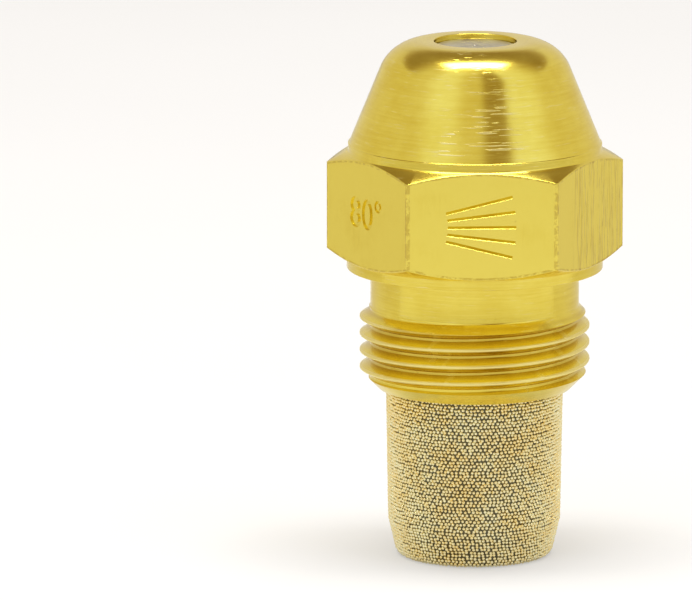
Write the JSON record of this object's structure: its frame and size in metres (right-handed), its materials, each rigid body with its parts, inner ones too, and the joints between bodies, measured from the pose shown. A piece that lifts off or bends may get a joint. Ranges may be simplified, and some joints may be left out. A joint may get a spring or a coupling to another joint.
{
  "type": "oil burner nozzle",
  "caption": "Pressure-jet oil burner nozzle: brass body with a hexagon, a male thread and a conical nose, orifice disc, distributor, lock screw and sintered filter cup.",
  "frame": {"origin": "centre of the filter's lower face, which is what the nozzle stands on", "axes": "+Z along the nozzle's axis towards the spray end; two opposite hexagon flats face -Y and +Y, and two corners point along -X and +X"},
  "size_m": [0.0184, 0.016, 0.0323],
  "materials": {
    "bright_brass": "bright turned and milled brass",
    "turned_brass": "plain turned brass",
    "stainless_steel": "finely turned stainless steel",
    "sintered_bronze": "sintered beads, pale bronze"
  },
  "bodies": {
    "filter": {"sintered_filter": "sintered_bronze", "filter_bush": "turned_brass"},
    "lock_screw": {"lock_screw": "turned_brass"},
    "distributor": {"swirl_distributor": "stainless_steel"},
    "orifice_disc": {"orifice_disc": "stainless_steel"},
    "nozzle_body": {"nozzle_body": "bright_brass"}
  },
  "joints": [
    {"name": "filter_unscrew", "type": "slide", "parent": "filter", "child": "lock_screw", "axis": [0, 0, 1], "range_m": [0, 0.0086]},
    {"name": "lock_screw_unscrew", "type": "slide", "parent": "lock_screw", "child": "distributor", "axis": [0, 0, 1], "range_m": [0, 0.0148]},
    {"name": "distributor_draw", "type": "slide", "parent": "distributor", "child": "orifice_disc", "axis": [0, 0, 1], "range_m": [0, 0.0205]},
    {"name": "disc_draw", "type": "slide", "parent": "orifice_disc", "child": "nozzle_body", "axis": [0, 0, 1], "range_m": [0, 0.0216]}
  ]
}
